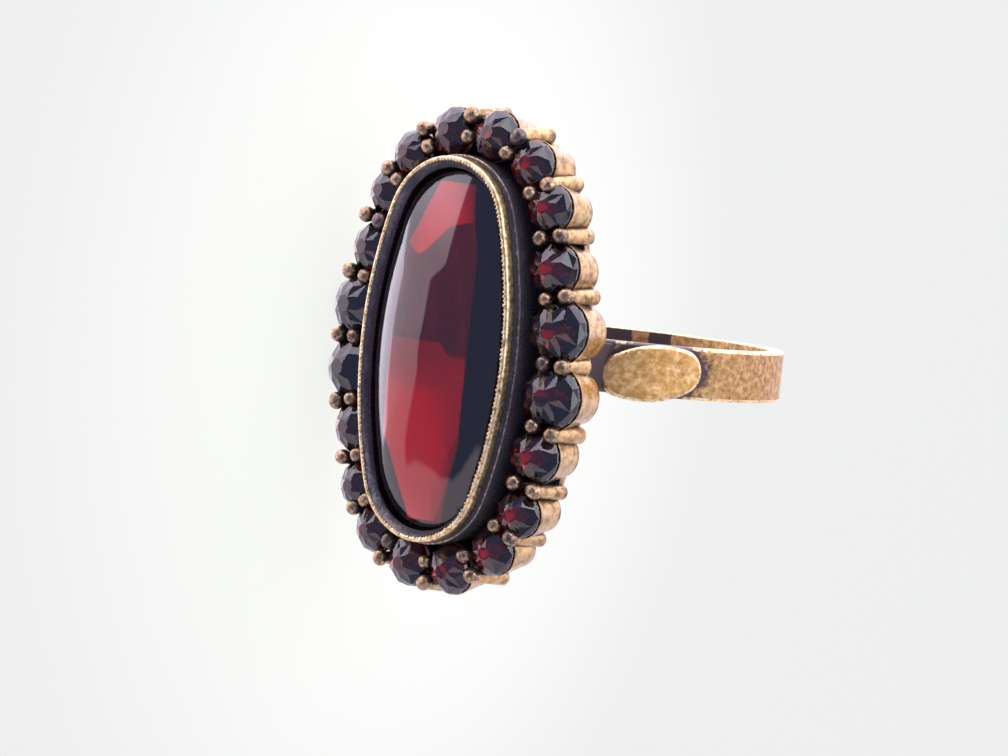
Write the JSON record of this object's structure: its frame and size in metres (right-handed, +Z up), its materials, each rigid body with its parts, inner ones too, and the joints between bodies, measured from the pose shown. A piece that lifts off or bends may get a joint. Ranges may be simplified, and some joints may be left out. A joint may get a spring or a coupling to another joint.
{
  "type": "finger ring",
  "caption": "Cluster ring: a long oval garnet cabochon in a raised collet, ringed by claw-set round garnets, on a flat band with shoulder plates.",
  "frame": {"origin": "middle of the foot of the bounding box, on the surface that the ring lies on", "axes": "+Z up from that surface; the finger's hole runs along Y; the face looks to -X and a little down, as the ring rests on its side"},
  "size_m": [0.0252, 0.0252, 0.0197],
  "materials": {
    "gilt_metal": "worn gilt copper alloy with a dark patina in the recesses",
    "garnet": "polished deep red garnet"
  },
  "bodies": {
    "root": {"ring_metal": "gilt_metal", "centre_stone": "garnet", "halo_stone_1": "garnet", "halo_stone_2": "garnet", "halo_stone_3": "garnet", "halo_stone_4": "garnet", "halo_stone_5": "garnet", "halo_stone_6": "garnet", "halo_stone_7": "garnet", "halo_stone_8": "garnet", "halo_stone_9": "garnet", "halo_stone_10": "garnet", "halo_stone_11": "garnet", "halo_stone_12": "garnet", "halo_stone_13": "garnet", "halo_stone_14": "garnet", "halo_stone_15": "garnet", "halo_stone_16": "garnet", "halo_stone_17": "garnet", "halo_stone_18": "garnet", "halo_stone_19": "garnet", "halo_stone_20": "garnet"}
  },
  "joints": []
}
